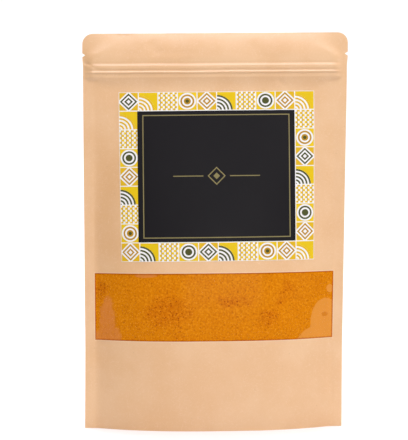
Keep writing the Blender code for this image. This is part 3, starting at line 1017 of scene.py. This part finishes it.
def patch(graph, place, centre, size, ragged, soft):
    """Near 1 inside an oval on the powder's front, in millimetres, with a ragged and a soft edge."""
    x, _, z = graph.split(place)
    across = graph.math("DIVIDE", graph.minus(x, centre[0]), size[0])
    up = graph.math("DIVIDE", graph.minus(z, centre[1]), size[1])
    squares = graph.add(graph.times(across, across), graph.times(up, up))
    wander = graph.times(graph.minus(graph.noise(place, PATCH_WANDER), 0.5), ragged)
    return graph.minus(1.0, graph.step(graph.add(squares, wander), 1.0 - soft, 1.0 + soft))


def patches(graph, place, ovals, ragged, soft):
    """Near 1 inside any of several ovals, each a centre and a size."""
    covered = 0.0
    for oval in ovals:
        covered = graph.most(covered, patch(graph, place, *oval, ragged, soft))
    return covered


def powder_grains(graph, place, grain):
    """The powder's own colour: pale and dark grains, denser and darker in crumbly drifts and clumps."""
    drift = graph.step(graph.noise(place, size=15.0, detail=3.0, roughness=0.55), 0.50, 0.72)
    clumps = patches(graph, place, POWDER_CLUMPS, ragged=2.2, soft=0.9)
    crumbly = graph.most(graph.times(drift, 0.4), clumps)
    colour = graph.tint(POWDER, POWDER_DEEP, crumbly, strength=0.50)
    pale = graph.step(graph.noise(place, size=1.25, detail=1.0), 0.50, 0.62)
    colour = graph.tint(colour, POWDER_PALE, pale, strength=0.40)
    amount = graph.add(graph.times(crumbly, 0.15), 0.27)
    colour = graph.tint(colour, POWDER_GRAIN, graph.step(grain, 0.50, 0.60), amount)
    for size, radius, share, strength in POWDER_SPECKS:
        amount = graph.add(graph.times(crumbly, 0.55), strength)
        colour = graph.tint(colour, POWDER_DARK, graph.specks(place, size, radius, share), amount)
    size, radius, share, strength = POWDER_CRUMBS
    crumbs = graph.times(graph.specks(place, size, radius, share), crumbly)
    return graph.tint(colour, POWDER_DARK, crumbs, strength)


def powder_dust_and_sheen(graph, place, colour):
    """The powder's colour with patches of dust on the film and painted reflection laid over it."""
    cloudy = graph.step(graph.noise(place, size=2.6), 0.25, 0.60)
    amount = graph.add(graph.times(cloudy, 0.30), 0.50)
    # Paler patches at the window's left and right: dust on the film, and painted reflection.
    red_dust_and_sheen = patches(graph, place, RED_DUST_AND_SHEEN_OVALS, ragged=1.5, soft=0.30)
    colour = graph.tint(colour, POWDER_RED_DUST_AND_SHEEN, red_dust_and_sheen, amount)
    pale_dust_and_sheen = patches(graph, place, PALE_DUST_AND_SHEEN_OVALS, ragged=0.25, soft=0.05)
    colour = graph.tint(colour, POWDER_DUST_AND_SHEEN, pale_dust_and_sheen, strength=0.85)
    gap = patches(graph, place, DUST_AND_SHEEN_GAP, ragged=0.3, soft=0.5)
    return graph.tint(colour, POWDER_DEEP, gap, strength=0.60)


def powder_material():
    """Ground turmeric against film: fine grain, darker crumbly drifts, smooth patches of dust and painted
    reflection, and painted shade along the window's edge.
    """
    graph = Graph("turmeric_powder", roughness=0.85)
    place = graph.place()
    grain = graph.noise(place, size=1.10)
    colour = powder_dust_and_sheen(graph, place, powder_grains(graph, place, grain))
    # Painted shade: the powder is darker within about a millimetre of the window's border, where the paper's
    # cut edge would shade it.
    edge = graph.add(window_distance(graph, place), graph.times(grain, 0.8))
    colour = graph.tint(colour, POWDER_GRAIN, graph.step(edge, -0.7, 0.1), strength=0.60)
    return graph.surface(colour, grain, distance=0.00020, strength=0.4, gloss=0.05)


def plastic_material():
    """Milky polyethylene for the zip's strips."""
    graph = Graph("zip_plastic_satin", roughness=0.38)
    lines = graph.noise(graph.place(scale=(0.05, 1.0, 1.0)), size=0.8)
    colour = graph.tint(ZIP_PLASTIC, CUT_EDGE, lines, strength=0.12)
    return graph.surface(colour, lines, distance=0.00004, strength=0.3)


def bands(graph, value, count):
    """1 on every second of count equal bands of a value from 0 to 1."""
    return graph.over(graph.math("MODULO", graph.times(value, count), 2.0), 1.0)


def tile_number(graph, along, length, count):
    """The number of the tile along one side of the label, with the place in the tile as its fraction."""
    return graph.math("DIVIDE", graph.add(along, 0.5 * MM * length), MM * length / count)


def in_tile(graph, number):
    """The place in a tile along one side, from -1 to 1."""
    return graph.minus(graph.times(graph.math("FRACT", number), 2.0), 1.0)


def tile_draw(graph, ids):
    """A number from 0 to 1 for each tile, the same on every run."""
    wave = graph.times(graph.math("SINE", graph.times(ids, TILE_DRAW_TURN)), TILE_DRAW_SPREAD)
    return graph.math("FRACT", graph.size(wave))


def lozenge_tile(graph, u, v, ink):
    """Nested lozenges on white, with coloured corners."""
    lozenge = graph.times(graph.add(graph.size(u), graph.size(v)), 0.5)
    colour = graph.mix(bands(graph, lozenge, 9.0), PRINT_WHITE, ink)
    return graph.mix(graph.over(lozenge, 0.56), colour, PRINT_MUSTARD)


def fan_tile(graph, u, v, leaf):
    """Quarter rings about one corner, on yellow."""
    right = graph.math("POWER", graph.add(u, 1.0), 2.0)
    above = graph.math("POWER", graph.add(v, 1.0), 2.0)
    fan = graph.times(graph.math("SQRT", graph.add(right, above)), 0.5)
    colour = graph.mix(bands(graph, fan, 11.0), leaf, PRINT_WHITE)
    return graph.mix(graph.over(fan, 0.82), colour, PRINT_YELLOW)


def check_tile(graph, u, v):
    """Small checks with thin upright lines."""
    u_share = graph.math("FRACT", graph.times(u, 2.0))
    v_share = graph.math("FRACT", graph.times(v, 2.0))
    check = graph.size(graph.minus(graph.over(u_share, 0.5), graph.over(v_share, 0.5)))
    colour = graph.mix(check, PRINT_YELLOW, PRINT_WHITE)
    line = graph.under(graph.size(graph.minus(u_share, 0.5)), 0.07)
    return graph.mix(line, colour, PRINT_OCHRE)


def ring_tile(graph, u, v, ink):
    """Rings about a dark dot, with yellow corners."""
    ring = graph.math("SQRT", graph.add(graph.times(u, u), graph.times(v, v)))
    colour = graph.mix(bands(graph, graph.times(ring, 0.7), 8.0), PRINT_WHITE, ink)
    colour = graph.mix(graph.over(ring, 0.90), colour, PRINT_YELLOW)
    return graph.mix(graph.under(ring, 0.18), colour, PRINT_OLIVE)


def label_tiles(graph, across, up):
    """The border's colour: square tiles with nested lozenges, fans, checks or rings."""
    column = tile_number(graph, across, LABEL_SIZE[0], LABEL_COLUMNS)
    row = tile_number(graph, up, LABEL_SIZE[1], LABEL_ROWS)
    u, v = in_tile(graph, column), in_tile(graph, row)
    ids = graph.add(graph.math("FLOOR", column), graph.times(graph.math("FLOOR", row), 7.0))
    motif = graph.math("FRACT", graph.times(ids, 0.25))
    draw = tile_draw(graph, ids)
    ink = graph.mix(graph.over(draw, 0.5), PRINT_OCHRE, PRINT_OLIVE)
    leaf = graph.mix(graph.under(draw, 0.35), PRINT_MUSTARD, PRINT_OLIVE)
    colour = lozenge_tile(graph, u, v, ink)
    colour = graph.mix(graph.over(motif, 0.20), colour, fan_tile(graph, u, v, leaf))
    colour = graph.mix(graph.over(motif, 0.45), colour, check_tile(graph, u, v))
    colour = graph.mix(graph.over(motif, 0.70), colour, ring_tile(graph, u, v, ink))
    seam = graph.over(graph.most(graph.size(u), graph.size(v)), 0.95)
    return graph.mix(seam, colour, PRINT_WHITE)


def box_distance(graph, across, up, size):
    """How far a place lies outside a rectangle about the middle, negative inside it, in millimetres."""
    beside = graph.minus(graph.size(across), 0.5 * MM * size[0])
    above = graph.minus(graph.size(up), 0.5 * MM * size[1])
    return graph.most(beside, above)


def line_mask(graph, distance, half):
    """1 on a line of a half thickness where the distance is 0."""
    return graph.under(graph.size(distance), half)


def flat_across(graph, across, up):
    """The place across the flat label, from that on the bag: the reverse of how its sides draw in."""
    down = graph.minus(0.5, graph.math("DIVIDE", up, MM * LABEL_SIZE[1]))
    drawn = graph.math("POWER", graph.most(down, 0.0), LABEL_DRAWN_DOWN)
    out = graph.math("DIVIDE", graph.size(across), 0.5 * MM * LABEL_SIZE[0])
    beside = graph.math("POWER", out, LABEL_DRAWN_ACROSS)
    amount = graph.times(graph.times(drawn, beside), MM * LABEL_DRAWN_IN)
    return graph.add(across, graph.times(amount, graph.math("SIGN", across)))


def panel_ornament(graph, across, up):
    """1 on the gold print of the dark panel: a thin rule, a small lozenge and a bar on each side of it."""
    gold = line_mask(graph, box_distance(graph, across, up, RULE_SIZE), RULE_HALF)
    lozenge = graph.add(graph.size(across), graph.size(up))
    outline = line_mask(graph, graph.minus(lozenge, LOZENGE_REACH), LOZENGE_HALF)
    gold = graph.most(gold, outline)
    gold = graph.most(gold, graph.under(lozenge, LOZENGE_CORE))
    bar = graph.times(line_mask(graph, up, BAR_HALF), graph.under(graph.size(across), BAR_END))
    bar = graph.times(bar, graph.over(graph.size(across), BAR_START))
    return graph.most(gold, bar)


def label_material():
    """The sticker's print: a tiled border round a dark panel with a thin gold rule and a small lozenge."""
    graph = Graph("label_print", roughness=0.42)
    shift = (-LABEL_CENTRE[0], 0.0, -LABEL_CENTRE[1])
    place = graph.place(turn=(0.0, LABEL_TURN, 0.0), shift=shift)
    across, _, up = graph.split(place)
    up = graph.minus(up, graph.times(across, SKEW))
    across = flat_across(graph, across, up)
    colour = label_tiles(graph, across, up)
    inside = graph.minus(across, MM * LABEL_PANEL_SHIFT)
    panel = graph.under(box_distance(graph, inside, up, LABEL_PANEL_SIZE), 0.0)
    colour = graph.mix(panel, colour, PRINT_BLACK)
    colour = graph.mix(panel_ornament(graph, inside, up), colour, PRINT_GOLD)
    tooth = graph.noise(place, size=0.5)
    return graph.surface(colour, tooth, distance=0.00003, strength=0.2, gloss=0.12)


def dress_pouch(frame):
    """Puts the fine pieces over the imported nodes, and a finish on the nodes that stay."""
    kraft = kraft_material("kraft_paper")
    front = kraft_material("kraft_paper_front", windowed=True)
    cut = edge_material("cut_edge", CUT_EDGE, KRAFT, size=0.6, strength=0.3)
    rim = edge_material("sticker_edge", PRINT_WHITE, CUT_EDGE, size=0.4, strength=0.2)
    pieces = (
        (front_panel(front, cut), "front_panel", "kraft_paper"),
        (back_panel(kraft, cut), "back_panel", "kraft_paper"),
        (bottom_gusset(kraft, cut), "bottom_gusset", "kraft_paper"),
        (window_film(film_material()), "window_film", "clear_film"),
        (label_sheet(label_material(), rim), "label", "label_print"),
        (turmeric_fill(powder_material()), "turmeric_powder", "turmeric"),
    )
    for piece, node, slot in pieces:
        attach(piece, "root")
        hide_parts(node)
    plastic = plastic_material()
    for name in ("zip_socket_strip", "zip_rib_strip"):
        for slot in frame["nodes"][name].material_slots:
            slot.material = plastic


def aim(obj, target):
    """Turns a camera or lamp so that it looks at a point."""
    direction = Vector(target) - obj.location
    obj.rotation_euler = direction.to_track_quat("-Z", "Y").to_euler()


def add_camera():
    data = bpy.data.cameras.new("photo_camera")
    data.lens = CAMERA_LENS
    data.sensor_width = 36.0
    data.clip_start = 0.01
    camera = bpy.data.objects.new("photo_camera", data)
    camera.location = (
        -CAMERA_DISTANCE * math.sin(CAMERA_SIDEWAYS),
        -CAMERA_DISTANCE * math.cos(CAMERA_SIDEWAYS),
        CAMERA_HEIGHT,
    )
    aim(camera, CAMERA_TARGET)
    turned = camera.rotation_euler.to_matrix() @ Euler((0.0, 0.0, CAMERA_ROLL)).to_matrix()
    camera.rotation_euler = turned.to_euler()
    bpy.context.scene.collection.objects.link(camera)
    bpy.context.scene.camera = camera


def add_area_light(name, place, target, size, power, colour):
    data = bpy.data.lights.new(name, "AREA")
    data.shape = "RECTANGLE"
    data.size, data.size_y = size
    data.energy = power
    data.color = colour
    lamp = bpy.data.objects.new(name, data)
    lamp.location = place
    aim(lamp, target)
    bpy.context.scene.collection.objects.link(lamp)


def add_world():
    world = bpy.data.worlds.new("studio")
    world.use_nodes = True
    background = world.node_tree.nodes["Background"]
    background.inputs["Color"].default_value = (1.0, 1.0, 1.0, 1.0)
    background.inputs["Strength"].default_value = WORLD_STRENGTH
    bpy.context.scene.world = world


def floor_material():
    """A pale floor that is grey before the pouch, where a pale one would light the bag from below."""
    graph = Graph("pale_floor", roughness=0.7)
    place = graph.place()
    _, back, _ = graph.split(place)
    pale = graph.mix(graph.noise(place, size=240.0), FLOOR_PALE, FLOOR_PALEST)
    return graph.surface(graph.mix(graph.step(back, *FLOOR_FADE), FLOOR_GREY, pale))


def add_backdrop():
    """A floor that curves up into a wall behind."""
    turns = spread(0.0, 0.5 * math.pi, 0.1)
    profile = [(FLOOR_FRONT, 0.0)]
    for turn in turns:
        out, up = math.sin(turn), 1.0 - math.cos(turn)
        profile.append((FLOOR_BACK + FLOOR_CURVE * out, FLOOR_CURVE * up))
    profile.append((FLOOR_BACK + FLOOR_CURVE, WALL_HEIGHT))
    points = [(x, y, z) for x in (-FLOOR_HALF_WIDTH, FLOOR_HALF_WIDTH) for y, z in profile]
    count = len(profile)
    faces = [[i, i + 1, count + i + 1, count + i] for i in range(count - 1)]
    mesh = bpy.data.meshes.new("pale_floor")
    mesh.from_pydata(points, [], faces)
    mesh.shade_smooth()
    mesh.materials.append(floor_material())
    floor = bpy.data.objects.new("pale_floor", mesh)
    bpy.context.scene.collection.objects.link(floor)


def around(azimuth, elevation, distance):
    """A place seen from the pouch's middle at an angle right of its front and above the level."""
    right, up = math.radians(azimuth), math.radians(elevation)
    level = distance * math.cos(up)
    height = distance * math.sin(up) + POUCH_MIDDLE[2]
    return (level * math.sin(right), -level * math.cos(right), height)


def add_studio():
    bpy.context.scene.view_settings.view_transform = "Standard"
    add_world()
    for name, direction, size, power, colour in LAMPS:
        add_area_light(name, around(*direction), POUCH_MIDDLE, size, power, colour)
    add_area_light("backdrop_light", *BACKDROP_LAMP)
    add_backdrop()


clear_scene()
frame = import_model()
add_camera()
dress_pouch(frame)
add_studio()
